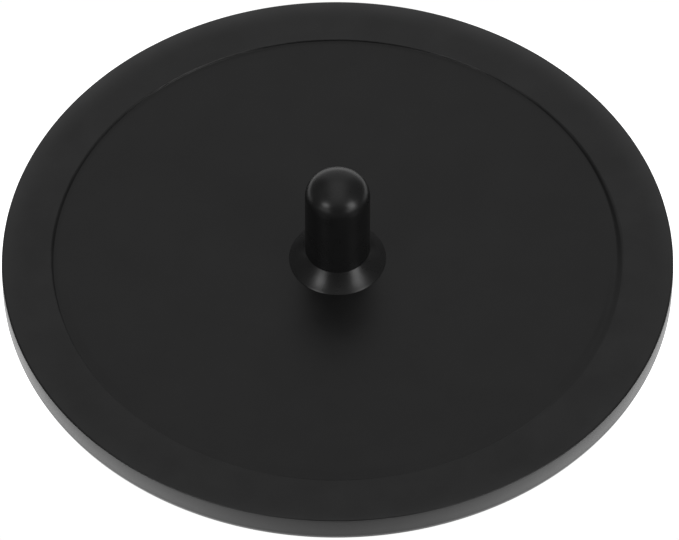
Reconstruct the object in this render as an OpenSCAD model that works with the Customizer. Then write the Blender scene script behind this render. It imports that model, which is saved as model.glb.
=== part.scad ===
// Flat round sink stopper: a rubber disc with a domed pull stem, held from below by one screw.
// Millimetres. The origin is the centre of the underside, and +Z points up the stem.

/* [Disc] */
// Outer diameter of the rubber disc
disc_d = 58; // [54:0.5:70]
// Thickness of the disc at its outer land
disc_t = 3.3; // [3.3:0.1:4.5]
// Radius of the rounded bottom edge
bottom_edge_r = 1.5; // [0.4:0.1:1.6]
// Radius of the small round at the top edge
top_edge_r = 0.2; // [0.1:0.05:0.6]
// Diameter of the shallow round recess in the top face
field_d = 49.1; // [30:0.1:50]
// Depth of that recess below the outer land
field_drop = 0.2; // [0.05:0.05:0.3]

/* [Stem] */
// Diameter of the round part of the stem
stem_d = 5.6; // [5.2:0.1:7]
// Height of the stem, dome and foot included
stem_h = 10.4; // [10.2:0.1:20]
// Diameter of the conical foot where it stands on the disc
foot_d = 8.36; // [8:0.02:11]
// Height of the conical foot
foot_h = 1.35; // [0.6:0.05:2.5]
// Height of the dome above the round part
dome_h = 2.15; // [1.9:0.05:2.6]
// Radius of the dome's shoulder, where it leaves the round part
shoulder_r = 1.8; // [1.2:0.1:1.8]

/* [Fixing] */
// Nominal diameter of the screw's thread
screw_d = 2; // [1.8:0.1:2.2]
// Diameter of the hole in the stem before the screw cuts its thread
tap_d = 1.6; // [1.3:0.1:1.7]
// Length of the screw below its head
screw_l = 7; // [5:0.5:8]
// Diameter of the screw's head
head_d = 3.8; // [3.4:0.1:4.4]
// Height of the screw's head
head_h = 1.3; // [1:0.05:1.35]
// Outer diameter of the backing washer
washer_d = 9; // [7:0.1:10]
// Thickness of the backing washer
washer_t = 0.5; // [0.3:0.05:0.5]
// Outer diameter of the spacer sleeve
sleeve_d = 4; // [3.4:0.1:4.6]

/* [Clearances] */
// Radial clearance between the sleeve and the hole in the disc
running_gap = 0.05; // [0.02:0.01:0.1]
// Gap between the disc and each flat face that turns on it
face_gap = 0.02; // [0.01:0.01:0.05]
// Radial clearance round the screw in the washer and the sleeve
screw_gap = 0.1; // [0.05:0.01:0.15]
// Radial clearance round the washer in its pocket
pocket_gap = 0.3; // [0.1:0.05:0.5]
// Height of the screw's head above the surface that the disc lies on
head_lift = 0.1; // [0.05:0.01:0.12]

/* [Hidden] */
$fn = 96;

disc_r = disc_d / 2;
stem_r = stem_d / 2;
foot_r = foot_d / 2;
sleeve_r = sleeve_d / 2;
washer_r = washer_d / 2;
head_r = head_d / 2;
screw_r = screw_d / 2;
screw_hole_r = screw_r + screw_gap;

// Heights above the underside, from the bottom up
washer_z = head_lift + head_h;
sleeve_z = washer_z + washer_t;
pocket_top_z = sleeve_z + face_gap;
field_z = disc_t - field_drop;
stem_z = field_z + face_gap;
dome_z = stem_z + stem_h - dome_h;

// The dome's section: a shoulder arc that runs smoothly into a flatter crown arc centred on the axis
shoulder_at = [stem_r - shoulder_r, dome_z];
crown_r = (pow(shoulder_at.x, 2) + pow(dome_h, 2) - pow(shoulder_r, 2)) / (2 * (dome_h - shoulder_r));
crown_at = [0, dome_z + dome_h - crown_r];

// Plastic left below the screw's tip, chamfer on the screw's tip, and slot in its head
tap_run_out = 0.8;
tip_chamfer = 0.3;
slot_w = 0.5;
slot_depth = 0.6;
// Edge breaks on the turned head and on the stamped washer
head_edge_r = 0.25;
washer_edge_r = 0.1;
sleeve_chamfer = 0.12;
// How far a cutting solid runs past the face that it cuts
over = 1;

rubber_colour = "#1f1f20";
stem_colour = "#0e0e0f";
steel_colour = "#b9bbbd";
brass_colour = "#b08d46";

// What a round of radius r takes off the corner of a section; side is [1, -1] for bottom right
module corner_cut(corner, side, r) {
    centre = corner - [side.x * r, side.y * r];
    difference() {
        translate(centre + [side.x * (r + over) / 2, side.y * (r + over) / 2]) square(r + over, center = true);
        translate(centre) circle(r);
    }
}

// Half section of the disc: upright wall, larger round below and small round above
module disc_section() {
    difference() {
        square([disc_r, disc_t]);
        corner_cut([disc_r, 0], [1, -1], bottom_edge_r);
        corner_cut([disc_r, disc_t], [1, 1], top_edge_r);
    }
}

// A plain hole or pocket on the Z axis, from z1 up to z2
module z_hole(r, z1, z2) {
    translate([0, 0, z1]) cylinder(h = z2 - z1, r = r);
}

// Rubber disc: shallow recess on top, hole for the sleeve, pocket for the washer and the screw's head
module seal_disc() {
    color(rubber_colour)
    difference() {
        rotate_extrude() disc_section();
        z_hole(field_d / 2, field_z, disc_t + over);
        z_hole(sleeve_r + running_gap, -over, disc_t + over);
        z_hole(washer_r + pocket_gap, -over, pocket_top_z);
    }
}

// Half section of the dome. Its two arcs meet on the line through their centres
module dome_section() {
    beyond = shoulder_at + (shoulder_r + over) * (shoulder_at - crown_at) / norm(shoulder_at - crown_at);
    intersection() {
        translate(shoulder_at) circle(shoulder_r);
        polygon([shoulder_at, [stem_r + over, dome_z], [stem_r + over, beyond.y], beyond]);
    }
    intersection() {
        translate(crown_at) circle(crown_r);
        polygon([[0, dome_z], shoulder_at, beyond, [0, dome_z + dome_h + over]]);
    }
}

// Hard plastic grip: conical foot, round pin and domed top, tapped from below
module pull_stem() {
    color(stem_colour)
    difference() {
        rotate_extrude() {
            polygon([[0, stem_z], [foot_r, stem_z], [stem_r, stem_z + foot_h], [stem_r, dome_z], [0, dome_z]]);
            dome_section();
        }
        z_hole(tap_d / 2, stem_z - over, washer_z + screw_l + tap_run_out);
    }
}

// Short tube that lines the hole in the disc and takes the clamping force of the screw
module spacer_sleeve() {
    color(brass_colour)
    difference() {
        z_hole(sleeve_r, sleeve_z, stem_z);
        z_hole(screw_hole_r, sleeve_z - over, stem_z + over);
        translate([0, 0, stem_z - sleeve_chamfer])
            cylinder(h = 2 * sleeve_chamfer, r1 = screw_hole_r, r2 = screw_hole_r + 2 * sleeve_chamfer);
    }
}

// Thin stamped washer in the pocket under the disc
module backing_washer() {
    color(steel_colour)
    difference() {
        rotate_extrude()
            translate([0, washer_z])
            difference() {
                square([washer_r, washer_t]);
                corner_cut([washer_r, 0], [1, -1], washer_edge_r);
                corner_cut([washer_r, washer_t], [1, 1], washer_edge_r);
            }
        z_hole(screw_hole_r, washer_z - over, sleeve_z + over);
    }
}

// Slotted cheese-head screw, head down
module stem_screw() {
    color(steel_colour)
    difference() {
        union() {
            rotate_extrude()
                translate([0, head_lift])
                difference() {
                    square([head_r, head_h]);
                    corner_cut([head_r, 0], [1, -1], head_edge_r);
                }
            z_hole(screw_r, washer_z, washer_z + screw_l - tip_chamfer);
            translate([0, 0, washer_z + screw_l - tip_chamfer])
                cylinder(h = tip_chamfer, r1 = screw_r, r2 = screw_r - tip_chamfer);
        }
        translate([-head_r - over, -slot_w / 2, head_lift - over])
            cube([2 * (head_r + over), slot_w, slot_depth + over]);
    }
}

seal_disc();
pull_stem();
spacer_sleeve();
backing_washer();
stem_screw();
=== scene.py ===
"""Looks of a flat round sink stopper: a rubber disc with a domed pull stem, screwed on from below.

Everything is in metres, in the frame of the CAD model: the disc lies on z = 0 and the stem points up.
"""
import math

import bmesh
import bpy
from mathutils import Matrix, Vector, noise

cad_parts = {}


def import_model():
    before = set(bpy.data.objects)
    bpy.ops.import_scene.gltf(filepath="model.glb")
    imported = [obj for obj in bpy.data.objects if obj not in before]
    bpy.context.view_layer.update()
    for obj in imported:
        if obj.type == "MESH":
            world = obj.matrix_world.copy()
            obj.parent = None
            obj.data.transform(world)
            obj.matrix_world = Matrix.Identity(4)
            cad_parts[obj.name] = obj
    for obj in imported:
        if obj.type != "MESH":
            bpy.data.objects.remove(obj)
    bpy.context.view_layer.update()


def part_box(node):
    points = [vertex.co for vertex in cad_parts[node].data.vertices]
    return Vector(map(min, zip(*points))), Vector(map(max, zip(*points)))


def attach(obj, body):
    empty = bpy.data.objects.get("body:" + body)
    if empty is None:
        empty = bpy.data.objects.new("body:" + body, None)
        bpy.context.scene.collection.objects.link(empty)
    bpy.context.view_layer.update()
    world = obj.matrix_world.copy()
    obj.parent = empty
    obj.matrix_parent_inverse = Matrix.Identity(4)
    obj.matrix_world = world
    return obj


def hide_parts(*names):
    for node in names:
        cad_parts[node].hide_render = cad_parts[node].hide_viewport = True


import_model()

MM = 0.001

# Boxes of the CAD nodes, which every piece is built to
disc_low, disc_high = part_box("seal_disc")
stem_low, stem_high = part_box("pull_stem")
sleeve_low, sleeve_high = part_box("spacer_sleeve")
washer_low, washer_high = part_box("backing_washer")
screw_low, screw_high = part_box("stem_screw")

# Disc: sizes that its box does not give
disc_r = min(disc_high.x, -disc_low.x)
disc_top = disc_high.z
bottom_round = 1.5 * MM
top_round = 0.2 * MM
field_r = 24.55 * MM
field_z = disc_top - 0.2 * MM
sleeve_hole_r = sleeve_high.x + 0.05 * MM
pocket_r = washer_high.x + 0.3 * MM
pocket_top = washer_high.z + 0.02 * MM
pocket_round = 0.2 * MM

# The step round the disc's recess
step_fillet = 0.07 * MM
step_round = 0.13 * MM
# Its top leans outward by about this much at its left and right
step_lean = 0.14 * MM
# At the right it is a slope, whose foot lies this much further in
step_slope = 0.5 * MM
step_slope_turn = math.radians(-12)
# In front the recess rises towards it by this much, over this width, so that the step is lower
step_fill = 0.11 * MM
step_fill_w = 1.2 * MM

# The disc's upright wall bulges a little between its two edges, and its trimmed top rim is uneven
wall_bulge = 0.03 * MM
wall_middle = (disc_top + bottom_round) / 2
rim_trim = 0.008 * MM
# The moulded disc is not quite flat: two opposite sides of its rim stand up by this much
curl = 0.36 * MM
curl_turn = math.radians(14)

# Stem
foot_r = stem_high.x
foot_h = 1.35 * MM
foot_hollow = 0.06 * MM
stem_r = 2.8 * MM
dome_h = 2.15 * MM
shoulder_r = 1.8 * MM
dome_z = stem_high.z - dome_h

# Screw
head_r = screw_high.x
head_h = washer_low.z - screw_low.z
thread_r = 1.0 * MM
thread_root_r = 0.8 * MM
thread_pitch = 0.4 * MM
thread_low = washer_high.z + 0.1 * MM
screw_hole_r = 1.1 * MM
slot_w = 0.5 * MM
slot_depth = 0.6 * MM

# Two numbers closer than this are the same place on an outline
close_to = 0.01 * MM


# ---------------------------------------------------------------- meshes

def arc(centre_r, centre_z, radius, start, end, steps):
    """Points of an arc in the (r, z) half plane. Angles are in degrees: 0 points outward and 90 points up."""
    turns = [math.radians(start + (end - start) * i / steps) for i in range(steps + 1)]
    return [(centre_r + radius * math.cos(t), centre_z + radius * math.sin(t)) for t in turns]


def line(start, end, steps):
    """Points from start to end, without the first one."""
    (r0, z0), (r1, z1) = start, end
    return [(r0 + (r1 - r0) * i / steps, z0 + (z1 - z0) * i / steps) for i in range(1, steps + 1)]


def flare(start, end, hollow, steps):
    """A line from start to end that is hollowed towards the axis and down, without its first point."""
    (r0, z0), (r1, z1) = start, end
    length = math.hypot(r1 - r0, z1 - z0)
    inward = ((z0 - z1) / length, (r1 - r0) / length)
    points = []
    for i in range(1, steps + 1):
        along = i / steps
        depth = hollow * 4 * along * (1 - along)
        r = r0 + (r1 - r0) * along + inward[0] * depth
        z = z0 + (z1 - z0) * along + inward[1] * depth
        points.append((r, z))
    return points


def new_piece(name, bm):
    """An object made from a bmesh, which it frees."""
    mesh = bpy.data.meshes.new(name)
    bm.to_mesh(mesh)
    bm.free()
    piece = bpy.data.objects.new(name, mesh)
    bpy.context.scene.collection.objects.link(piece)
    return piece


def lathe(name, outline, segments, closed, shape=None):
    """Turns an outline of (r, z) points round the Z axis. shape(r, turn, z) may move each point."""
    sharp_angle = math.radians(32)
    bm = bmesh.new()
    rings = []
    for r, z in outline:
        if r == 0:
            rings.append([bm.verts.new((0, 0, z))])
            continue
        ring = []
        for i in range(segments):
            turn = 2 * math.pi * i / segments
            pr, pz = shape(r, turn, z) if shape else (r, z)
            ring.append(bm.verts.new((pr * math.cos(turn), pr * math.sin(turn), pz)))
        rings.append(ring)
    pairs = list(zip(rings, rings[1:]))
    if closed:
        pairs.append((rings[-1], rings[0]))
    for a, b in pairs:
        for i in range(segments):
            j = (i + 1) % segments
            corners = [a[i % len(a)], a[j % len(a)], b[j % len(b)], b[i % len(b)]]
            bm.faces.new(list(dict.fromkeys(corners)))
    bmesh.ops.recalc_face_normals(bm, faces=bm.faces)
    for face in bm.faces:
        face.smooth = True
    for edge in bm.edges:
        edge.smooth = edge.calc_face_angle(0) < sharp_angle
    return new_piece(name, bm)


def ramp(value, start, end):
    """0 up to start, 1 from end on, and an even rise between them."""
    return min(1, max(0, (value - start) / (end - start)))


def waver(turn, lumps, seed):
    """A smooth value from about -1 to 1 that changes round the circle and meets itself."""
    return noise.noise(Vector((math.cos(turn) * lumps, math.sin(turn) * lumps, seed)))


# ---------------------------------------------------------------- materials

def material(name, metallic=0.0):
    """A new Principled material, with the nodes that each finish starts from."""
    mat = bpy.data.materials.new(name)
    mat.use_nodes = True
    tree = mat.node_tree
    shader = tree.nodes["Principled BSDF"]
    shader.inputs["Metallic"].default_value = metallic
    where = tree.nodes.new("ShaderNodeTexCoord")
    return mat, tree, shader, where.outputs["Object"]


def grain(tree, where, size, detail):
    """A noise whose lumps are about size across, with finer lumps on them where detail is high."""
    node = tree.nodes.new("ShaderNodeTexNoise")
    node.inputs["Scale"].default_value = 1 / size
    node.inputs["Detail"].default_value = detail
    node.inputs["Roughness"].default_value = 0.55
    tree.links.new(where, node.inputs["Vector"])
    return node.outputs["Fac"]


def spread(tree, value, low, high, from_low=0.3, from_high=0.7, eased=False):
    """value taken from one range to another. A grain needs no from_low and from_high."""
    node = tree.nodes.new("ShaderNodeMapRange")
    node.interpolation_type = "SMOOTHSTEP" if eased else "LINEAR"
    node.inputs["From Min"].default_value = from_low
    node.inputs["From Max"].default_value = from_high
    node.inputs["To Min"].default_value = low
    node.inputs["To Max"].default_value = high
    tree.links.new(value, node.inputs["Value"])
    return node.outputs["Result"]


def fade(tree, value, start, end):
    """0 where value is at start and 1 where it is at end, with a soft change between them."""
    return spread(tree, value, 0, 1, start, end, eased=True)


def blend(tree, share, first, second):
    """A colour between two others, each of which is a socket or three numbers."""
    node = tree.nodes.new("ShaderNodeMix")
    node.data_type = "RGBA"
    tree.links.new(share, node.inputs["Factor"])
    for name, colour in (("A", first), ("B", second)):
        if isinstance(colour, tuple):
            node.inputs[name].default_value = (*colour, 1)
        else:
            tree.links.new(colour, node.inputs[name])
    return node.outputs["Result"]


def bump(tree, height, depth):
    """Small relief that follows height and is about depth deep."""
    node = tree.nodes.new("ShaderNodeBump")
    node.inputs["Strength"].default_value = 1.0
    node.inputs["Distance"].default_value = depth
    tree.links.new(height, node.inputs["Height"])
    return node.outputs["Normal"]


def math_node(tree, operation, a, b=None):
    """One sum of the node tree; a and b are sockets or numbers."""
    node = tree.nodes.new("ShaderNodeMath")
    node.operation = operation
    for socket, value in zip(node.inputs, (a, b)):
        if value is None:
            continue
        if isinstance(value, (int, float)):
            socket.default_value = value
        else:
            tree.links.new(value, socket)
    return node.outputs["Value"]


def times(tree, a, b):
    return math_node(tree, "MULTIPLY", a, b)


def plus(tree, a, b):
    return math_node(tree, "ADD", a, b)


def larger(tree, a, b):
    return math_node(tree, "MAXIMUM", a, b)


def polar(tree, where):
    """x, y, z and the distance from the Z axis."""
    split = tree.nodes.new("ShaderNodeSeparateXYZ")
    tree.links.new(where, split.inputs["Vector"])
    x, y, z = split.outputs
    squares = plus(tree, times(tree, x, x), times(tree, y, y))
    return x, y, z, math_node(tree, "SQRT", squares)


def turned_coordinates(tree, where, along_z):
    """Coordinates that stretch a noise into fine circular tool marks, on a flat face or on a cylinder."""
    x, y, z, radius = polar(tree, where)
    turn = math_node(tree, "ARCTAN2", y, x)
    stretch = 0.1 * MM
    join = tree.nodes.new("ShaderNodeCombineXYZ")
    tree.links.new(z if along_z else radius, join.inputs["X"])
    tree.links.new(times(tree, turn, stretch), join.inputs["Y"])
    return join.outputs["Vector"]


def rubber():
    """Fine satin black rubber with faint mottling and a close moulded grain."""
    mat, tree, shader, where = material("black_rubber")
    mottle = grain(tree, where, 4.0 * MM, 4.0)
    close = grain(tree, where, 0.16 * MM, 2.0)
    x, y, z, radius = polar(tree, where)
    edge = 0.05 * MM
    land = spread(tree, radius, 0, 1, field_r - edge, field_r + edge)
    tree.links.new(rubber_colour(tree, where, mottle, land), shader.inputs["Base Color"])
    field_rough = plus(tree, spread(tree, mottle, 0.33, 0.38), spread(tree, close, -0.015, 0.015))
    rougher_land = 0.03
    tree.links.new(plus(tree, field_rough, times(tree, land, rougher_land)), shader.inputs["Roughness"])
    tree.links.new(bump(tree, close, 0.0016 * MM), shader.inputs["Normal"])
    return mat


def rubber_colour(tree, where, mottle, land):
    """The rubber's colour, with painted light and shade in it. It is paler towards the back, which is painted
    light, and paler on the land, most of all in a patchy painted sheen on the rim behind.
    Painted shade darkens it along the foot of the step, except in front."""
    x, y, z, radius = polar(tree, where)
    # Painted light: the rubber is made paler towards the back, on top of its random mottling
    painted_light_to_back = spread(tree, y, 0.1, 0.9, -0.9 * disc_r, 0.9 * disc_r)
    mottle_and_painted_light = times(tree, plus(tree, spread(tree, mottle, 0, 1), painted_light_to_back), 0.5)

    # Painted shade: the recess is darkened along the foot of the step, except in front, where the step faces
    # away
    clear_of_painted_step_shade = fade(tree, radius, field_r - 0.2 * MM, field_r - 0.45 * MM)
    in_front = fade(tree, y, 0, -0.5 * disc_r)
    field_painted_light_and_shade = times(tree, mottle_and_painted_light, larger(tree, clear_of_painted_step_shade, in_front))
    field_tint = blend(tree, field_painted_light_and_shade, (0.0045, 0.0045, 0.0046), (0.0135, 0.0135, 0.0137))

    # Painted sheen: a patchy paler band on the rim behind, which rises to the palest colour below
    rim = spread(tree, radius, 0, 1, 0.92 * disc_r, disc_r)
    behind = spread(tree, y, 0.1, 0.95, -0.3 * disc_r, 0.8 * disc_r, eased=True)
    patches = spread(tree, grain(tree, where, 5.0 * MM, 2.0), 0.7, 1.1)
    painted_rim_sheen = times(tree, times(tree, rim, rim), times(tree, behind, patches))
    land_tint = blend(tree, mottle_and_painted_light, (0.0065, 0.0065, 0.0066), (0.0275, 0.0275, 0.0278))
    return blend(tree, land, field_tint, blend(tree, painted_rim_sheen, land_tint, (0.088, 0.088, 0.089)))


def stem_plastic():
    """Smooth hard black plastic, glossier than the rubber, with a hint of flow in its skin."""
    mat, tree, shader, where = material("black_plastic")
    flow = grain(tree, where, 1.6 * MM, 3.0)
    skin = grain(tree, where, 0.25 * MM, 2.0)
    colour = blend(tree, spread(tree, flow, 0, 1), (0.0150, 0.0150, 0.0151), (0.0185, 0.0185, 0.0187))
    tree.links.new(colour, shader.inputs["Base Color"])
    tree.links.new(spread(tree, flow, 0.26, 0.31), shader.inputs["Roughness"])
    tree.links.new(bump(tree, skin, 0.0008 * MM), shader.inputs["Normal"])
    return mat


def turned_metal(name, dark, light, rough_low, rough_high, along_z=False):
    """Metal with fine circular tool marks, which run round a flat face or, with along_z, round a cylinder."""
    mat, tree, shader, where = material(name, metallic=1.0)
    marks = grain(tree, turned_coordinates(tree, where, along_z), 0.05 * MM, 3.0)
    stain = grain(tree, where, 1.2 * MM, 4.0)
    tree.links.new(blend(tree, spread(tree, stain, 0, 1), dark, light), shader.inputs["Base Color"])
    rough = plus(tree, spread(tree, stain, rough_low, rough_high), spread(tree, marks, -0.05, 0.05))
    tree.links.new(rough, shader.inputs["Roughness"])
    tree.links.new(bump(tree, marks, 0.004 * MM), shader.inputs["Normal"])
    return mat


# ---------------------------------------------------------------- pieces

def step_shape(r, turn, z):
    """Gives the step round the disc's recess its uneven lean, its slope at the right and its low front."""
    height = ramp(z, field_z, disc_top)
    run_in = ramp(r, field_r - step_fill_w, field_r)
    behind = ramp(math.sin(turn), -0.35, 0.1)
    lean = 0.9 * behind * math.cos(turn) ** 2
    lean += 0.3 * waver(turn, lumps=9, seed=7.7) + 0.2 * waver(turn, lumps=60, seed=2.4)
    slope = max(0, math.cos(turn - step_slope_turn)) ** 6
    fill = (1 - behind) * run_in * run_in * (3 - 2 * run_in)
    if r < field_r + 2 * step_round:
        r += step_lean * lean * height - step_slope * slope * (1 - height) * run_in
    return r, z + step_fill * fill * (1 - height)


def disc_shape(r, turn, z):
    """Gives the moulded disc its bulging wall, its unevenly trimmed rim, its step and its curl."""
    if r > disc_r - close_to and z > 0:
        r -= wall_bulge * ((z - wall_middle) / (disc_top - wall_middle)) ** 2
    if r > disc_r - top_round and z > disc_top / 2:
        r -= rim_trim * (1 + waver(turn, lumps=14, seed=3.1))
    if abs(r - field_r) < step_fill_w and z > field_z - close_to:
        r, z = step_shape(r, turn, z)
    z += curl * (r / disc_r * math.sin(turn - curl_turn)) ** 2
    return r, z


def rubber_disc():
    """The disc, from the sleeve's hole outward over the top, down the wall and back along the underside."""
    top = disc_top
    outline = [(sleeve_hole_r, field_z)]
    outline += line(outline[-1], (field_r - step_fill_w, field_z), 22)
    outline += line(outline[-1], (field_r - step_fillet, field_z), 8)
    outline += arc(field_r - step_fillet, field_z + step_fillet, step_fillet, -90, 0, 4)[1:]
    outline += arc(field_r + step_round, top - step_round, step_round, 180, 90, 7)
    outline += line(outline[-1], (disc_r - top_round, top), 10)
    outline += arc(disc_r - top_round, top - top_round, top_round, 90, 0, 7)[1:]
    outline += line(outline[-1], (disc_r, bottom_round), 10)
    outline += arc(disc_r - bottom_round, bottom_round, bottom_round, 0, -90, 16)[1:]
    outline += line(outline[-1], (pocket_r + pocket_round, 0), 16)
    outline += arc(pocket_r + pocket_round, pocket_round, pocket_round, 270, 180, 5)[1:]
    outline += line(outline[-1], (pocket_r, pocket_top), 3)
    outline += line(outline[-1], (sleeve_hole_r, pocket_top), 4)
    outline += line(outline[-1], (sleeve_hole_r, field_z), 3)[:-1]
    piece = lathe("rubber_disc", outline, 720, closed=True, shape=disc_shape)
    piece.data.materials.append(rubber())
    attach(piece, "disc")
    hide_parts("seal_disc")


def dome_outline():
    """From the pin's wall to the axis: a shoulder arc that runs smoothly into a flatter crown arc."""
    inset = stem_r - shoulder_r
    crown_r = (inset ** 2 + dome_h ** 2 - shoulder_r ** 2) / (2 * (dome_h - shoulder_r))
    crown_z = stem_high.z - crown_r
    meet = math.degrees(math.atan2(dome_z - crown_z, inset))
    shoulder = arc(inset, dome_z, shoulder_r, 0, meet, 16)
    crown = arc(0, crown_z, crown_r, meet, 90, 12)
    return shoulder + crown[1:-1] + [(0, stem_high.z)]


def domed_stem():
    """The pull stem, from its blind hole outward along the foot and up to the dome."""
    base = stem_low.z
    edge = 0.03 * MM
    hole_top = screw_high.z + 0.8 * MM
    hole_cone_h = 0.4 * MM
    hole_edge = 0.1 * MM
    outline = [(0, hole_top), (thread_root_r, hole_top - hole_cone_h)]
    outline += line(outline[-1], (thread_root_r, base + hole_edge), 8)
    outline += line(outline[-1], (thread_root_r + hole_edge, base), 1)
    outline += line(outline[-1], (foot_r - edge, base), 6)
    outline += line(outline[-1], (foot_r, base + edge / 2), 1)
    outline += line(outline[-1], (foot_r - edge / 2, base + edge), 1)
    outline += flare(outline[-1], (stem_r, base + foot_h), foot_hollow, 10)
    outline += line(outline[-1], (stem_r, dome_z), 16)[:-1]
    outline += dome_outline()
    piece = lathe("domed_stem", outline, 192, closed=False)
    piece.data.materials.append(stem_plastic())
    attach(piece, "stem")
    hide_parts("pull_stem")


def brass_sleeve():
    """A short tube with broken outer edges and a bore that is chamfered at its upper end."""
    low, high = sleeve_low.z, sleeve_high.z
    outer, inner = sleeve_high.x, screw_hole_r
    edge = 0.05 * MM
    chamfer = 0.12 * MM
    outline = arc(outer - edge, low + edge, edge, -90, 0, 3)
    outline += line(outline[-1], (outer, high - edge), 6)
    outline += arc(outer - edge, high - edge, edge, 0, 90, 3)[1:]
    outline += line(outline[-1], (inner + chamfer, high), 2)
    outline += line(outline[-1], (inner, high - chamfer), 2)
    outline += line(outline[-1], (inner, low), 6)
    piece = lathe("brass_sleeve", outline, 160, closed=True)
    brass = turned_metal("brass_metal", (0.52, 0.36, 0.14), (0.70, 0.50, 0.22), 0.22, 0.34, along_z=True)
    piece.data.materials.append(brass)
    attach(piece, "stem")
    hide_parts("spacer_sleeve")


def stamped_washer():
    """A washer with the rounded lower rim and the crisp upper rim that a stamping tool leaves."""
    low, high = washer_low.z, washer_high.z
    outer, inner = washer_high.x, screw_hole_r
    crisp = 0.04 * MM
    rolled = 0.12 * MM
    outline = arc(outer - rolled, low + rolled, rolled, -90, 0, 6)
    outline += line(outline[-1], (outer, high - crisp), 3)
    outline += arc(outer - crisp, high - crisp, crisp, 0, 90, 3)[1:]
    outline += line(outline[-1], (inner + crisp, high), 12)
    outline += line(outline[-1], (inner, high - crisp), 1)
    outline += line(outline[-1], (inner, low + rolled), 3)
    outline += arc(inner + rolled, low + rolled, rolled, 180, 270, 6)[1:]
    outline += line(outline[-1], outline[0], 12)[:-1]
    piece = lathe("stamped_washer", outline, 256, closed=True)
    steel = turned_metal("washer_metal", (0.36, 0.36, 0.37), (0.60, 0.60, 0.61), 0.20, 0.38)
    piece.data.materials.append(steel)
    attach(piece, "stem")
    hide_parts("backing_washer")


def thread_shape(r, turn, z):
    """Cuts the thread into the screw's shank: a V groove that climbs a pitch a turn and fades at its ends."""
    if r < thread_root_r + close_to or z < thread_low:
        return r, z
    phase = (z / thread_pitch - turn / (2 * math.pi)) % 1
    # The V is deeper than the groove, and is cut off into a flat crest and a flat root
    groove = min(1, max(0, 1.3 * (1 - abs(2 * phase - 1)) - 0.1))
    run_out = min(1, (z - thread_low) / (0.5 * thread_pitch), (screw_high.z - z) / thread_pitch)
    return r - (thread_r - thread_root_r) * groove * run_out, z


def slotted_screw():
    """The screw, head down: from its slot outward round the head, then up the thread to the tip."""
    low = screw_low.z
    edge = 0.25 * MM
    seat_edge = 0.05 * MM
    tip = 0.3 * MM
    turns = (screw_high.z - tip - thread_low) / thread_pitch
    points_per_turn = 12
    outline = [(0, low)]
    outline += line(outline[-1], (head_r - edge, low), 8)
    outline += arc(head_r - edge, low + edge, edge, -90, 0, 8)[1:]
    outline += line(outline[-1], (head_r, low + head_h - seat_edge), 3)
    outline += line(outline[-1], (head_r - seat_edge, low + head_h), 1)
    outline += line(outline[-1], (thread_r, low + head_h), 4)
    outline += line(outline[-1], (thread_r, thread_low), 2)
    outline += line(outline[-1], (thread_r, screw_high.z - tip), round(points_per_turn * turns))
    outline += line(outline[-1], (thread_r - tip, screw_high.z), 3)
    outline += [(0, screw_high.z)]
    piece = lathe("slotted_screw", outline, 96, closed=False, shape=thread_shape)
    cut_slot(piece)
    steel = turned_metal("screw_metal", (0.46, 0.46, 0.47), (0.64, 0.64, 0.65), 0.16, 0.30)
    piece.data.materials.append(steel)
    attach(piece, "stem")
    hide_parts("stem_screw")


def cut_slot(piece):
    """Mills the slot across the screw's head."""
    below = 1.0 * MM
    bm = bmesh.new()
    bmesh.ops.create_cube(bm, size=1)
    bmesh.ops.scale(bm, verts=bm.verts, vec=(3 * head_r, slot_w, slot_depth + below))
    bmesh.ops.translate(bm, verts=bm.verts, vec=(0, 0, screw_low.z + (slot_depth - below) / 2))
    cutter = new_piece("slot_cutter", bm)
    cut = piece.modifiers.new("slot", "BOOLEAN")
    cut.operation = "DIFFERENCE"
    cut.solver = "EXACT"
    cut.object = cutter
    bpy.context.view_layer.update()
    evaluated = piece.evaluated_get(bpy.context.evaluated_depsgraph_get())
    result = bpy.data.meshes.new_from_object(evaluated)
    piece.modifiers.clear()
    piece.data = result
    bpy.data.objects.remove(cutter)


rubber_disc()
domed_stem()
brass_sleeve()
stamped_washer()
slotted_screw()


# ---------------------------------------------------------------- stage, light and camera

# How bright the camera sees the floor and the background, whatever light they give
WHITE = 1.02


def seen_white(tree, level):
    """level for the object, and plain white for the camera."""
    path = tree.nodes.new("ShaderNodeLightPath")
    return larger(tree, level, times(tree, path.outputs["Is Camera Ray"], WHITE))


def floor_light(tree, where):
    """How bright the object sees the floor. Close round the disc it is brightest at the left and right, and a
    painted contact shadow darkens it where the disc touches it. Further out only the floor behind is lit."""
    x, y, z, radius = polar(tree, where)
    right = spread(tree, x, 0, 0.64, 0, 0.75 * disc_r, eased=True)
    left = spread(tree, x, 0, 0.70, 0, -0.7 * disc_r, eased=True)
    around = plus(tree, plus(tree, right, left), 0.84)
    near = fade(tree, radius, 1.24 * disc_r, 1.12 * disc_r)
    behind = spread(tree, y, 0, 0.7, -0.2 * disc_r, 1.4 * disc_r, eased=True)
    lit = larger(tree, times(tree, around, near), behind)
    everywhere = 0.08
    # Painted contact shadow: the floor's glow dims under the disc's edge
    painted_contact_shadow = spread(tree, radius, 0.25, 1, 0.965 * disc_r, 0.995 * disc_r, eased=True)
    return times(tree, plus(tree, lit, everywhere), painted_contact_shadow)


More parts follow.
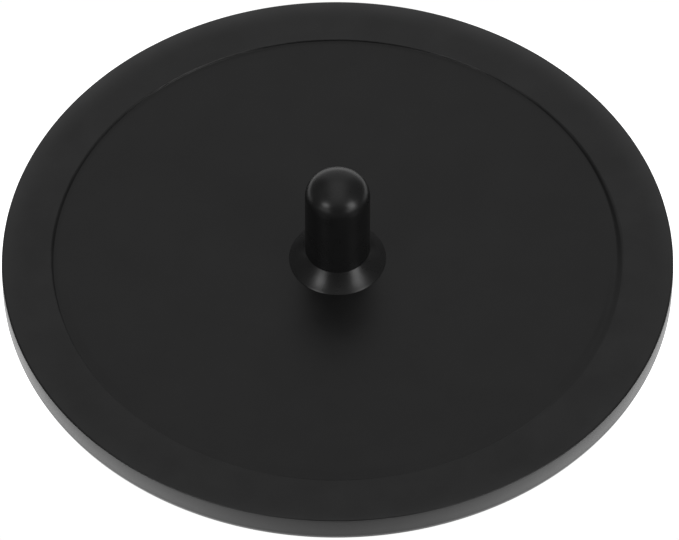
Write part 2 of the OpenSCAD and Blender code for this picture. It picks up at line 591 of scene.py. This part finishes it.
def floor_material():
    """A floor that glows on its upper side and is clear from below."""
    mat = bpy.data.materials.new("white_floor")
    mat.use_nodes = True
    tree = mat.node_tree
    tree.nodes.clear()
    where = tree.nodes.new("ShaderNodeTexCoord")
    glow = tree.nodes.new("ShaderNodeEmission")
    tree.links.new(seen_white(tree, floor_light(tree, where.outputs["Object"])), glow.inputs["Strength"])
    clear = tree.nodes.new("ShaderNodeBsdfTransparent")
    side = tree.nodes.new("ShaderNodeNewGeometry")
    mix = tree.nodes.new("ShaderNodeMixShader")
    out = tree.nodes.new("ShaderNodeOutputMaterial")
    tree.links.new(side.outputs["Backfacing"], mix.inputs["Fac"])
    tree.links.new(glow.outputs["Emission"], mix.inputs[1])
    tree.links.new(clear.outputs["BSDF"], mix.inputs[2])
    tree.links.new(mix.outputs["Shader"], out.inputs["Surface"])
    return mat


def floor():
    """Plain white floor. It is open under the disc, so that a view from below shows the underside."""
    hole_r = disc_r - 2 * bottom_round
    floor_r = 3.0
    sides = 128
    turns = [2 * math.pi * i / sides for i in range(sides)]
    bm = bmesh.new()
    inner = [bm.verts.new((hole_r * math.cos(t), hole_r * math.sin(t), 0)) for t in turns]
    outer = [bm.verts.new((floor_r * math.cos(t), floor_r * math.sin(t), 0)) for t in turns]
    for i in range(sides):
        j = (i + 1) % sides
        bm.faces.new((inner[i], outer[i], outer[j], inner[j]))
    piece = new_piece("floor", bm)
    gap_under_disc = 0.02 * MM
    piece.location.z = -gap_under_disc
    piece.data.materials.append(floor_material())


def world():
    """A dim studio with a pale ceiling above the object and a pale wall behind it. It is darker in front."""
    sky = bpy.data.worlds.new("studio")
    bpy.context.scene.world = sky
    sky.use_nodes = True
    tree = sky.node_tree
    back = tree.nodes["Background"]
    where = tree.nodes.new("ShaderNodeTexCoord")
    x, y, z, plan = polar(tree, where.outputs["Generated"])
    not_in_front = spread(tree, y, 0.25, 1, -0.8, -0.15, eased=True)
    narrow = spread(tree, math_node(tree, "ABSOLUTE", x), 1, 0.1, 0.12, 0.62, eased=True)
    overhead = spread(tree, z, 0, 0.47, 0.50, 0.93, eased=True)
    ceiling = times(tree, times(tree, overhead, not_in_front), narrow)
    wall = spread(tree, math_node(tree, "DIVIDE", y, plan), 0, 0.26, 0.76, 0.95, eased=True)
    below = spread(tree, z, 0, 0.5, -0.2, -0.9, eased=True)
    room = spread(tree, y, 0.05, 0.11, -0.85, -0.2, eased=True)
    level = plus(tree, room, plus(tree, larger(tree, ceiling, wall), below))
    tree.links.new(seen_white(tree, level), back.inputs["Strength"])
    back.inputs["Color"].default_value = (1, 1, 1, 1)


def soft_box(name, azimuth, elevation, width, height, radiance):
    """A soft light that faces the object. All four angles are in degrees, and azimuth 0 is in front."""
    distance = 0.6
    data = bpy.data.lights.new(name, "AREA")
    data.shape = "RECTANGLE"
    data.size = 2 * distance * math.tan(math.radians(width / 2))
    data.size_y = 2 * distance * math.tan(math.radians(height / 2))
    data.energy = radiance * math.pi * data.size * data.size_y
    lamp = bpy.data.objects.new(name, data)
    lamp.visible_camera = False
    turn = math.radians(azimuth)
    rise = math.radians(elevation)
    way = Vector((math.sin(turn) * math.cos(rise), -math.cos(turn) * math.cos(rise), math.sin(rise)))
    lamp.location = way * distance
    lamp.rotation_mode = "QUATERNION"
    lamp.rotation_quaternion = way.to_track_quat("Z", "Y")
    bpy.context.scene.collection.objects.link(lamp)


def camera():
    """A distant camera that looks down on the disc, with the disc a little above and left of the middle."""
    elevation = math.radians(50.7)
    back = Vector((0, -math.cos(elevation), math.sin(elevation)))
    up = Vector((0, math.sin(elevation), math.cos(elevation)))
    right = Vector((1, 0, 0))
    aim = Vector((0, 0, disc_top)) + right * 0.17 * MM - up * 1.18 * MM
    distance = 23 * disc_r
    # The disc's radius as a share of the picture's width
    radius_share = 0.495
    data = bpy.data.cameras.new("camera")
    data.sensor_width = 36
    data.lens = data.sensor_width * radius_share * distance / disc_r
    data.clip_start = distance / 10
    data.clip_end = distance * 20
    view = bpy.data.objects.new("camera", data)
    view.location = aim + back * distance
    view.rotation_mode = "QUATERNION"
    view.rotation_quaternion = back.to_track_quat("Z", "Y")
    bpy.context.scene.collection.objects.link(view)
    bpy.context.scene.camera = view


floor()
world()
soft_box("light_left", -46, 36, 16, 18, 4.0)
soft_box("light_right", 53, 31, 20, 30, 2.9)
soft_box("glow_left", -42, 6, 34, 34, 0.65)
soft_box("glow_right", 48, 4, 34, 34, 0.95)
soft_box("light_below_left", -50, -40, 30, 24, 1.6)
soft_box("light_below_right", 60, -35, 18, 30, 2.4)
camera()
bpy.context.scene.view_settings.view_transform = "Standard"
